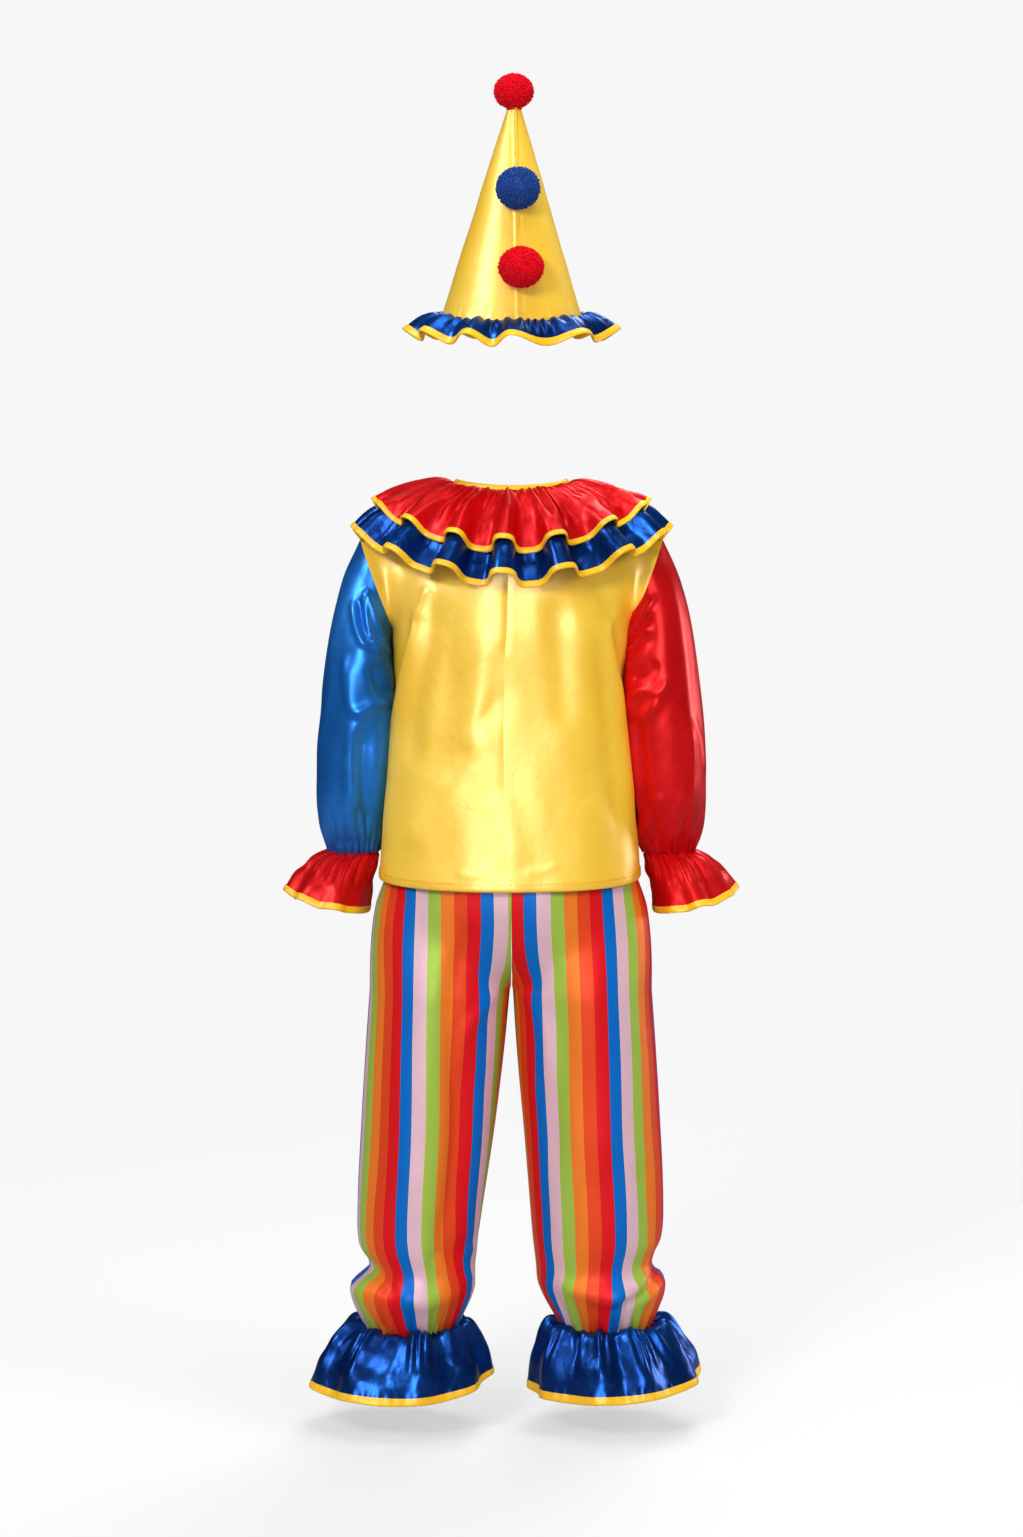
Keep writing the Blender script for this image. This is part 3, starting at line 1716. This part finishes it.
@dataclass(frozen=True)
class Collar:
    """The two-tier ruffled collar and the binding round the neck."""

    reach: float = 88.0
    wave_height: float = 15.0
    wave_lift: float = 3.2  # how far the crests rise and the troughs sink besides
    tier_space: float = 5.5
    neck: tuple[float, float] = (58.2, 49.2)  # half the width and the depth of the neckline
    neck_side_z: float = 4.0
    neck_front_z: float = -14.0
    binding_cut: tuple[float, float] = (340.0, 34.0)
    rows: Table = Table(
        "out half side depth back front",
        (0, 58.2, 4, 49.2, 0, -14),
        (0.17, 76, 6, 63, -3, -19),
        (0.5, 108, -3, 83, -22, -36),
        (1, 136, -18, 99, -53, -64),
        (1.36, 158, -37, 108, -79, -90),
    )

    def base(self, edge: float, under: float) -> Surface:
        """A tier before its waves.

        Args:
            edge: Where its free edge is, on the first column of the rows.
            under: How far it hangs below the tier above it.

        Returns:
            A surface with v 0 at the free edge and 1 at the neckline.
        """

        def tier(u: Array, v: Array) -> Array:
            """The plain tier.

            Args:
                u: Places round it.
                v: Places up it.

            Returns:
                Points.
            """
            angle, out = 2 * np.pi * u, (1 - v) * edge
            end = np.where(np.sin(angle) < 0, self.rows("back", out), self.rows("front", out))
            hang = under * smooth(out / 0.3)
            x = (self.rows("half", out) - 0.3 * hang) * np.cos(angle)
            y = (self.rows("depth", out) - 0.5 * hang) * np.sin(angle)
            away = np.sin(angle) ** 2
            lifted = self.wave_lift * away * np.minimum(1.05, out) ** 2 * self.steep_waves(u)
            z = mix(self.rows("side", out), end, away) - hang - (2.4 if under else 0) + lifted
            return points(x, y, z)

        return tier

    def steep_waves(self, u: Array) -> Array:
        """The waves round a tier, from -1 to 1, with flat tops and steep sides."""
        wave = np.clip(waves(COLLAR_CRESTS, u, 1.5), -1, 1)
        return wave * (1.5 - 0.5 * wave**2)

    def tier(self, edge: float, under: float, seed: int) -> Surface:
        """A tier with its waves and the fine gathers at the neck.

        Args:
            edge: Where its free edge is, on the first column of the rows.
            under: How far it hangs below the tier above it.
            seed: Chooses its ripples.

        Returns:
            A surface with v 0 at the free edge and 1 at the neckline.
        """

        def lift(u: Array, v: Array, at: Array, facing: Array) -> Array:
            """The waves and gathers.

            Args:
                u: Places round it.
                v: Places up it.
                at: The points there.
                facing: The normals there.

            Returns:
                Heights.
            """
            out = (1 - v) * edge
            away = np.sin(2 * np.pi * u) ** 2
            crest = self.steep_waves(u)
            height = mix(8.0, self.wave_height, away) * np.where(crest < 0, 0.78 * crest, crest)
            wave = np.minimum(1.05, out) ** 1.3 * height + 6 * away * smooth((out - 0.98) / 0.4)
            fine = 2.6 * smooth(1 - out / 0.45) * gathers(u, 66, 40) * smooth(out / 0.05)
            drawn = 3.6 * bell(out - 0.42, 0.3) * gathers(u, 29, 41)
            return wave + fine + drawn + 0.5 * smooth(out / 0.5) * ripple(at, 26, seed)

        return raised(self.base(edge, under), lift)

    def build(self) -> None:
        """Makes both tiers and the neck binding."""
        # Name, free edge, space under the tier above, satin, flat length, rows and seed
        tiers = (
            ("collar_upper", 1.0, 0.0, RED, 800, 34, 45),
            ("collar_lower", 1.36, self.tier_space, NAVY, 920, 36, 46),
        )
        for name, edge, under, finish, length, rows, seed in tiers:
            reach = self.reach * edge
            Ruffle(
                name,
                self.tier(edge, under, seed),
                reach=reach,
                cut=(length, reach),
                finish=finish,
                columns=500,
                rows=rows,
                band=7.0,
            ).build()
        self.neck_binding()

    def neck_binding(self) -> None:
        """The band inside the neckline, which leans in above the collar."""
        band = Table("up height inside", (0, -12, 1.7), (0.75, 0, 1.4), (1, 4.5, 3.8))

        def surface(u: Array, v: Array) -> Array:
            """The flat band, with v 1 at its upper edge.

            Args:
                u: Places round it.
                v: Places up it.

            Returns:
                Points.
            """
            angle = 2 * np.pi * u
            end = np.where(np.sin(angle) < 0, 0.0, self.neck_front_z)
            half, depth = (size - band("inside", v) for size in self.neck)
            z = mix(self.neck_side_z, end, np.sin(angle) ** 2) + band("height", v)
            return points(half * np.cos(angle), depth * np.sin(angle), z)

        def turned(u: Array, v: Array) -> Array:
            """The band seen from its upper edge, which is where it is folded."""
            return surface(u, 1 - v)

        def strip(u: Array, v: Array) -> Array:
            """The band folded at its upper edge, with a stitched groove and puckers.

            Args:
                u: Places round it.
                v: Places up it.

            Returns:
                Points.
            """
            face = 2 * v - 1
            out = np.abs(face) ** 1.5
            round_edge = np.sqrt(np.clip(1 - (1 - np.minimum(1, out / 0.16)) ** 2, 0, 1))
            groove = 0.25 * bell(out - 0.38, 0.05)
            pucker = 0.25 * gathers(u, 70, 40) * bell(out - 0.45, 0.2)
            away = -np.sign(face) * round_edge * (BINDING_WALL / 2 - groove + pucker)
            at = np.minimum(1, out)
            return turned(u, at) + outward(surface, u, 1 - at) * away[..., None]

        mesh = sheet_mesh("neck_binding", strip, Grid(270, 12, closed=True), self.binding_cut)
        piece = add_piece("neck_binding", mesh, BRIGHT_YELLOW, "neck_binding")
        thicken(piece, TAPE)


LEFT_LEG_FOLDS = (
    Fold(
        ((-58, -470), (-56, -564), (-53, -630), (-59, -705), (-65, -746), (-56, -771), (-45, -796)),
        -10.0,
        13,
        0.15,
    ),
    Fold(((-86, -430), (-91, -564), (-93, -644), (-99, -750)), 3.0, 20),
    Fold(((-6, -486), (-31, -516), (-46, -545), (-53, -600)), 3.2, 7),
    Fold(((-36, -420), (-56, -478), (-63, -530)), -2.6, 9),
    Fold(((-150, -776), (-136, -786), (-126, -794), (-117, -812)), -4.5, 6),
    Fold(((-166, -815), (-150, -802), (-138, -790)), 3.4, 5),
    Fold(((-44, -756), (-35, -778), (-42, -802)), 4.0, 6),
    Fold(((-116, -806), (-86, -813), (-57, -803)), 3.0, 8),
    Fold(((-73, -755), (-79, -776), (-70, -800)), -3.0, 6),
    Fold(((-120, -430), (-128, -520), (-134, -640), (-136, -730)), -2.6, 9),
)

RIGHT_LEG_FOLDS = (
    Fold(((92, -815), (110, -806), (129, -797), (139, -782), (145, -766)), 4.6, 5.5, 0.5),
    Fold(((96, -821), (113, -813), (133, -804), (144, -790), (150, -774)), -4.0, 4.0),
    Fold(((124, -814), (144, -806), (153, -790)), 3.6, 5),
    Fold(((68, -804), (98, -811), (128, -812)), 2.6, 6),
    Fold(((44, -790), (63, -802), (92, -803)), 2.4, 7),
    Fold(((2, -486), (23, -517), (33, -551), (36, -600)), 3.0, 8),
    Fold(((126, -660), (138, -720), (145, -762)), -3.2, 8),
    Fold(((48, -470), (44, -585), (43, -690)), -2.2, 12),
    Fold(((84, -430), (92, -560), (98, -700)), 2.6, 22),
)


@dataclass(frozen=True)
class Trousers:
    """The striped trousers: a back and a front panel for each leg, and the elastic waistband."""

    crotch_z: float = -503.0
    seat_z: float = -392.0
    top_z: float = -286.1
    crotch_share: float = 0.58
    seat_share: float = 0.78
    gathered_below: float = -748.0
    panel_cut: tuple[float, float] = (240.0, 590.0)
    band_cut: tuple[float, float] = (640.0, 24.0)
    band_half: tuple[float, float] = (88.0, 72.0)  # half the width and the depth of the waistband
    band_z: tuple[float, float] = (-286.0, -262.0)
    band_wall: float = 2.2
    hips: Table = Table(
        "z side back front",
        (-286.1, 88, 72, 72),
        (-320, 104, 80, 79),
        (-384, 123, 88, 88.2),
        (-400, 129, 89, 89.2),
        (-422, 135, 89, 89),
        (-475, 139.5, 86, 84),
        (-503, 142, 84, 82),
    )
    left_leg: Table = Table(
        "z outer inner depth",
        (-503, 142, 2, 80),
        (-566, 146.5, 8, 76.5),
        (-648, 151.5, 18, 71),
        (-720, 155, 29, 67),
        (-762, 154, 35, 64),
        (-787, 143.5, 38, 60),
        (-809, 162.5, 38, 64),
        (-848, 148.5, 55, 46),
    )
    right_leg: Table = Table(
        "z outer inner depth",
        (-503, 140.5, 2, 80),
        (-566, 145, 6, 76.5),
        (-648, 150, 13, 72),
        (-720, 153, 19, 68),
        (-757, 151, 22, 65),
        (-782, 140.5, 25, 61),
        (-805, 155.5, 28, 64),
        (-846, 142.5, 49, 46),
    )
    # Where one printed line runs down each leg: the start of a green stripe on the left leg, and
    # of a red one on the right leg
    left_line: Table = Table(
        "z x",
        (-850, -84),
        (-800, -84),
        (-746, -90),
        (-638, -85.5),
        (-514, -84),
        (-403, -82),
        (-300, -82),
    )
    right_line: Table = Table(
        "z x",
        (-850, 87),
        (-800, 87),
        (-746, 90),
        (-638, 85),
        (-514, 82),
        (-403, 77),
        (-300, 76),
    )

    def leg(self, side: Side, u: Array, z: Array) -> tuple[Array, Array]:
        """Half a leg's ring.

        Args:
            side: The leg.
            u: Places from the inseam at 0 round to the side seam at 1.
            z: Heights.

        Returns:
            Places along X and Y, both without their sign.
        """
        rings = self.left_leg if side is Side.LEFT else self.right_leg
        outer, inner, turn = rings("outer", z), rings("inner", z), u * np.pi
        depth = rings("depth", z) * np.maximum(0, np.sin(turn)) ** 0.9
        return (outer + inner) / 2 - (outer - inner) / 2 * np.cos(turn), depth

    def hip(self, face: Face, u: Array, z: Array) -> tuple[Array, Array]:
        """A quarter of the hips' ring.

        Args:
            face: The back or the front.
            u: Places from the centre seam at 0 round to the side seam at 1.
            z: Heights.

        Returns:
            Places along X and Y, both without their sign.
        """
        turn = u * np.pi / 2
        depth = self.hips(face.name.lower(), z) * np.maximum(0, np.cos(turn)) ** 0.9
        return self.hips("side", z) * np.sin(turn) ** 0.9, depth

    def plain(self, side: Side, face: Face) -> Surface:
        """A panel without folds.

        Args:
            side: Its leg.
            face: The back or the front.

        Returns:
            A surface with u 0 at the centre seam and inseam, and v 0 at the ankle.
        """
        rings = self.left_leg if side is Side.LEFT else self.right_leg
        ankle_z = rings.key[0]

        def panel(u: Array, v: Array) -> Array:
            """The plain panel.

            Args:
                u: Places round it.
                v: Places up it.

            Returns:
                Points.
            """
            across = np.clip(u, 0, 1)
            low_z = mix(ankle_z, self.crotch_z, np.minimum(1, v / self.crotch_share))
            leg_x, leg_y = self.leg(side, across, low_z)
            share = np.clip((v - self.crotch_share) / (self.seat_share - self.crotch_share), 0, 1)
            turn = share * np.pi / 2
            climb = mix(1 - np.cos(turn), share, smooth(across / 0.6))
            top = np.clip((v - self.seat_share) / (1 - self.seat_share), 0, 1)
            high_z = mix(mix(self.crotch_z, self.seat_z, climb), self.top_z, top)
            hip_x, hip_y = self.hip(face, across, high_z)
            opened = np.sin(turn) ** mix(1.15, 1.8, smooth(across / 0.5))
            x, y = mix(leg_x, hip_x, opened), mix(leg_y, hip_y, opened)
            z = np.where(share > 0, high_z, low_z)
            return points(side.value * x, face.value * y, z)

        return panel

    def draped(self, side: Side, face: Face) -> Surface:
        """A panel with its folds and the gathers at the ankle elastic.

        Args:
            side: Its leg.
            face: The back or the front.

        Returns:
            A surface with u and v as on the plain panel.
        """
        folds = LEFT_LEG_FOLDS if side is Side.LEFT else RIGHT_LEG_FOLDS
        front = moved(folds, 3 * side.value, 4, 0.85)
        seed = 60 + side.value + 3 * face.value
        drape = Drape(folds, front, ripple=0.6, length=44, seed=seed)
        direction = side.value * face.value * -1

        def lift(u: Array, v: Array, at: Array, facing: Array) -> Array:
            """The folds, which die away at the seams, and the gathers at both ends.

            Args:
                u: Places round it.
                v: Places up it.
                at: The points there.
                facing: The normals there.

            Returns:
                Heights.
            """
            away = facing * direction
            held = np.sin(np.clip(u, 0, 1) * np.pi) ** 0.5
            seat = smooth((v - self.crotch_share) / 0.08)
            held = mix(held, np.sqrt(1 - np.clip(u, 0, 1) ** 8), seat)
            ankle = 2.8 * smooth(1 - v / 0.09) * np.sin(np.clip(u, 0, 1) * np.pi)
            pleats = ankle * gathers(0.5 * u + 0.25 * face.value, 28, 70 + side.value)
            waist = 1.4 * smooth((v - 0.9) / 0.1) * gathers(0.25 * u, 44, 72)
            return direction * (drape.lift(at, away) * held + pleats + waist)

        return raised(self.plain(side, face), lift)

    def stripe_places(self, side: Side, face: Face) -> Callable[[Array], Array]:
        """Where each point of a panel lies on the printed cloth.

        The print runs down the leg from one line, and below the knee's last fold it goes in and
        out with the gathered cloth.

        Args:
            side: The leg.
            face: Its panel.

        Returns:
            A function from rows of points to their places across the print.
        """
        line = self.left_line if side is Side.LEFT else self.right_line
        first = 0.0 if side is Side.LEFT else 3 * STRIPES.pitch

        def places(rows: Array) -> Array:
            """The places, where the gathered rows keep the spacing of the lowest free one.

            Args:
                rows: Rows of points, from the lowest up.

            Returns:
                Their places across the print.
            """
            steps = np.linalg.norm(np.diff(rows, axis=1), axis=2)
            across = np.pad(np.cumsum(steps, axis=1), ((0, 0), (1, 0)))
            direction = np.sign(rows[:, -1, 0] - rows[:, 0, 0])[:, None]
            across *= direction
            free = int(np.argmax(rows[:, :, 2].mean(axis=1) > self.gathered_below))
            held = np.sin(np.linspace(0, np.pi, rows.shape[1])) ** 0.7
            for k in range(len(rows) - 1, -1, -1):
                order = np.argsort(rows[k, :, 0])
                if k < free:
                    across[k] = across[free]
                start = line("x", rows[k, :, 2].mean())
                shift = np.interp(start, rows[k, order, 0], across[k][order])
                across[k] -= shift * (held if k < free else 1)
            return across + first

        return places

    def build(self) -> None:
        """Makes the four panels, the waistband and the ankle ruffles."""
        for side in Side:
            for face in Face:
                self.panel(side, face)
            self.ankle(side).build()
        self.waistband()

    def panel(self, side: Side, face: Face) -> None:
        """One panel.

        Args:
            side: Its leg.
            face: The back or the front.
        """
        name = f"trousers_{face.name.lower()}_{side.name.lower()}"
        across = (0.0, 1.0) if side.value * face.value == -1 else (1.0, 0.0)
        cut = self.panel_cut
        places = self.stripe_places(side, face)
        mesh = sheet_mesh(name, self.draped(side, face), Grid(54, 142, across), cut, places)
        piece = add_piece(name, mesh, STRIPES, name)
        thicken(piece, SATIN)

    def waistband(self) -> None:
        """The ribbed elastic band, which the top hides."""

        def band(u: Array, v: Array) -> Array:
            """The band, with its ribs and gathers.

            Args:
                u: Places round it.
                v: Places up it.

            Returns:
                Points.
            """
            angle = 2 * np.pi * u
            rib = 0.4 * np.cos(2 * np.pi * 5 * v) + 0.9 * gathers(u, 60, 80) * np.sin(np.pi * v)
            half, depth = (size + rib for size in self.band_half)
            return points(half * np.cos(angle), depth * np.sin(angle), mix(*self.band_z, v))

        cut = self.band_cut
        mesh = sheet_mesh("waistband", band, Grid(160, 10, closed=True), cut)
        piece = add_piece("waistband", mesh, STRIPES, "waistband")
        thicken(piece, self.band_wall)

    def ankle(self, side: Side) -> Ruffle:
        """The navy ruffle below the elastic at the ankle.

        Args:
            side: The leg.

        Returns:
            The ruffle.
        """
        names = "down x y z width depth rise"
        # Its free edge is lifted at one place: where that is and how wide, in degrees, and how far
        if side is Side.LEFT:
            middle, width, height = 180, 50, 17
            rings = Table(
                names,
                (0, 101.8, 0, -850.2, 46, 45, 0),
                (0.22, 105, 0, -848, 61, 59, 0),
                (0.6, 109.5, 0, -881, 82, 80, 1),
                (1, 112.5, 0, -912, 91, 89, 3),
            )
        else:
            middle, width, height = 0, 60, 7
            rings = Table(
                names,
                (0, 95.8, 0, -848.2, 46, 45, 0),
                (0.22, 98, 0, -846, 60, 59, 0),
                (0.6, 102.5, 0, -879, 78, 78, 1),
                (1, 106, 0, -911, 86, 87, 3),
            )
        tube = ring_tube(rings, side)

        def lifted(u: Array, v: Array) -> Array:
            """The tube with its lifted edge.

            Args:
                u: Places round it.
                v: Places up it.

            Returns:
                Points.
            """
            turned = np.abs((u * 360 - middle + 180) % 360 - 180)
            at = tube(u, v)
            at[..., 2] += height * bell(turned, width) * (1 - v) ** 1.5
            return at

        def lift(u: Array, v: Array, at: Array, facing: Array) -> Array:
            """Its waves and gathers.

            Args:
                u: Places round it.
                v: Places up it.
                at: The points there.
                facing: The normals there.

            Returns:
                Heights.
            """
            wave = 5.0 * np.sin(np.pi * (0.12 + 0.62 * (1 - v))) * waves(ANKLE_CRESTS, u)
            near_ankle = smooth((v - 0.25) / 0.6) * smooth((1 - v) / 0.06)
            drawn = 2.6 * near_ankle * gathers(u, 24, 90 + side.value)
            fine = 1.0 * smooth((v - 0.72) / 0.2) * smooth((1 - v) / 0.04) * gathers(u, 50, 91)
            edge = 0.5 * bell(v - 0.1, 0.07) * gathers(u, 40, 92)
            soft = 0.9 * bell(v - 0.45, 0.35) * ripple(at, 34, 94 + side.value)
            return wave + drawn + fine + edge + soft

        return Ruffle(
            f"{side.name.lower()}_ankle_ruffle",
            raised(lifted, lift),
            reach=80,
            cut=(600, 84),
            finish=NAVY,
            columns=320,
            rows=38,
            band=8.6,
        )


@dataclass(frozen=True)
class Studio:
    """A pale floor, soft light and the camera at the photo's angle, in metres."""

    floor_z: float = -0.951
    floor_radius: float = 2.6
    floor_fade: float = 1.0  # where the floor begins to fade
    dome_radius: float = 16.0
    backdrop: float = 0.93
    ambient: float = 0.45
    camera_at: tuple[float, float, float] = (0.0, -4.6, 0.242)
    camera_to: tuple[float, float, float] = (0.0, 0.0, -0.281)
    lens: float = 108.44
    sensor: float = 36.0
    light_to: tuple[float, float, float] = (0.0, 0.0, -0.25)

    def build(self) -> None:
        """Makes the floor, the backdrop, the lights and the camera."""
        bpy.context.scene.view_settings.view_transform = "Standard"
        self.floor()
        self.surround()
        self.world()
        # Name, place, length of its sides, watts, and what it reaches
        lights = (
            ("key", (-1.4, -3.3, 1.7), 0.9, 92.0, Lit.CLOTH),
            ("fill", (2.5, -1.8, 0.9), 1.0, 30.0, Lit.CLOTH),
            ("top", (0.2, -0.6, 2.5), 1.2, 26.0, Lit.BOTH),
            ("behind", (0.8, 2.2, 2.7), 1.6, 80.0, Lit.BOTH),
            ("front_sheen", (-0.4, -4.0, 0.15), 1.1, 138.0, Lit.SHEEN),
            ("left_sheen", (-2.6, -1.7, 1.9), 0.6, 110.0, Lit.SHEEN),
            ("right_sheen", (2.6, 1.2, -0.1), 0.7, 30.0, Lit.SHEEN),
        )
        for light in lights:
            self.light(*light)
        self.camera()

    def light(
        self,
        name: str,
        place: tuple[float, float, float],
        size: float,
        power: float,
        lit: Lit,
    ) -> None:
        """One square soft light, aimed at the middle of the costume.

        Args:
            name: Its name.
            place: Where it stands.
            size: The length of its sides.
            power: Its power in watts.
            lit: Whether it lights the cloth, the sheen on it, or both.
        """
        data = bpy.data.lights.new(name, "AREA")
        data.size, data.energy = size, power
        lamp = bpy.data.objects.new(name, data)
        lamp.visible_camera = False
        lamp.visible_diffuse = lit is not Lit.SHEEN
        lamp.visible_glossy = lit is not Lit.CLOTH
        lamp.location = place
        aim = Vector(self.light_to) - Vector(place)
        lamp.rotation_euler = aim.to_track_quat("-Z", "Y").to_euler()
        bpy.context.scene.collection.objects.link(lamp)

    def camera(self) -> None:
        """The camera, with the sensor's width on the long side of the picture."""
        data = bpy.data.cameras.new("camera")
        data.lens, data.sensor_width, data.clip_end = self.lens, self.sensor, 100.0
        eye = bpy.data.objects.new("camera", data)
        eye.location = self.camera_at
        aim = Vector(self.camera_to) - Vector(self.camera_at)
        eye.rotation_euler = aim.to_track_quat("-Z", "Y").to_euler()
        bpy.context.scene.collection.objects.link(eye)
        bpy.context.scene.camera = eye

    def world(self) -> None:
        """An even pale light from all round."""
        world = bpy.data.worlds.new("studio")
        world.use_nodes = True
        bpy.context.scene.world = world
        light = world.node_tree.nodes["Background"]
        light.inputs["Color"].default_value = (0.95, 0.97, 1.0, 1.0)
        light.inputs["Strength"].default_value = self.ambient
        world.cycles_visibility.glossy = False

    def surround(self) -> None:
        """A wide pale backdrop that the camera alone sees."""
        shape = bmesh.new()
        bmesh.ops.create_icosphere(shape, subdivisions=4, radius=self.dome_radius)
        tree = Shader("backdrop")
        glow = tree.node("Emission", {}, {"Color": (1, 1, 1, 1), "Strength": self.backdrop})
        output = tree.tree.nodes.new("ShaderNodeOutputMaterial")
        tree.tree.links.new(glow.link, output.inputs["Surface"])
        dome = self.stage_piece("backdrop", shape, tree.material)
        for ray in ("diffuse", "glossy", "transmission", "shadow"):
            setattr(dome, f"visible_{ray}", False)

    def floor(self) -> None:
        """A round floor that fades into the backdrop."""
        shape = bmesh.new()
        bmesh.ops.create_circle(shape, cap_ends=True, segments=96, radius=self.floor_radius)
        bmesh.ops.translate(shape, verts=shape.verts[:], vec=(0, 0, self.floor_z))
        tree = Shader("floor")
        away = tree.node("VectorMath", {"operation": "LENGTH"}, {0: tree.place()}, out=1)
        shown = 1 - smooth_step(away, self.floor_fade, self.floor_radius)
        values = {"Base Color": (0.82, 0.82, 0.82, 1), "Roughness": 0.9, "Alpha": shown * 0.4}
        self.stage_piece("floor", shape, tree.finish(values))

    def stage_piece(
        self, name: str, shape: bmesh.types.BMesh, material: bpy.types.Material
    ) -> bpy.types.Object:
        """Puts a stage mesh into the scene.

        Args:
            name: Its name.
            shape: Its mesh, which is freed.
            material: Its material.

        Returns:
            The new object.
        """
        mesh = bpy.data.meshes.new(name)
        shape.to_mesh(mesh)
        shape.free()
        mesh.materials.append(material)
        piece = bpy.data.objects.new(name, mesh)
        bpy.context.scene.collection.objects.link(piece)
        return piece


def main() -> None:
    """Makes the studio and the whole costume."""
    logging.basicConfig(level=logging.INFO, format="%(message)s")
    Studio().build()
    hat = Hat()
    hat.build()
    # Name, centre, radius, half the height, yarn and seed
    pompoms = (
        Pompom("pompom_tip", (2.2, 0, 389.4), 19.5, 17.4, RED_YARN, 51),
        Pompom("pompom_upper", (6.4, -43, 294.6), 21.5, 20.5, BLUE_YARN, 52),
        Pompom("pompom_lower", (9.3, -70, 218), 22, 20, RED_YARN, 53),
    )
    for pompom in pompoms:
        pompom.build(hat)
    Top().build()
    Collar().build()
    Trousers().build()


if __name__ == "__main__":
    main()
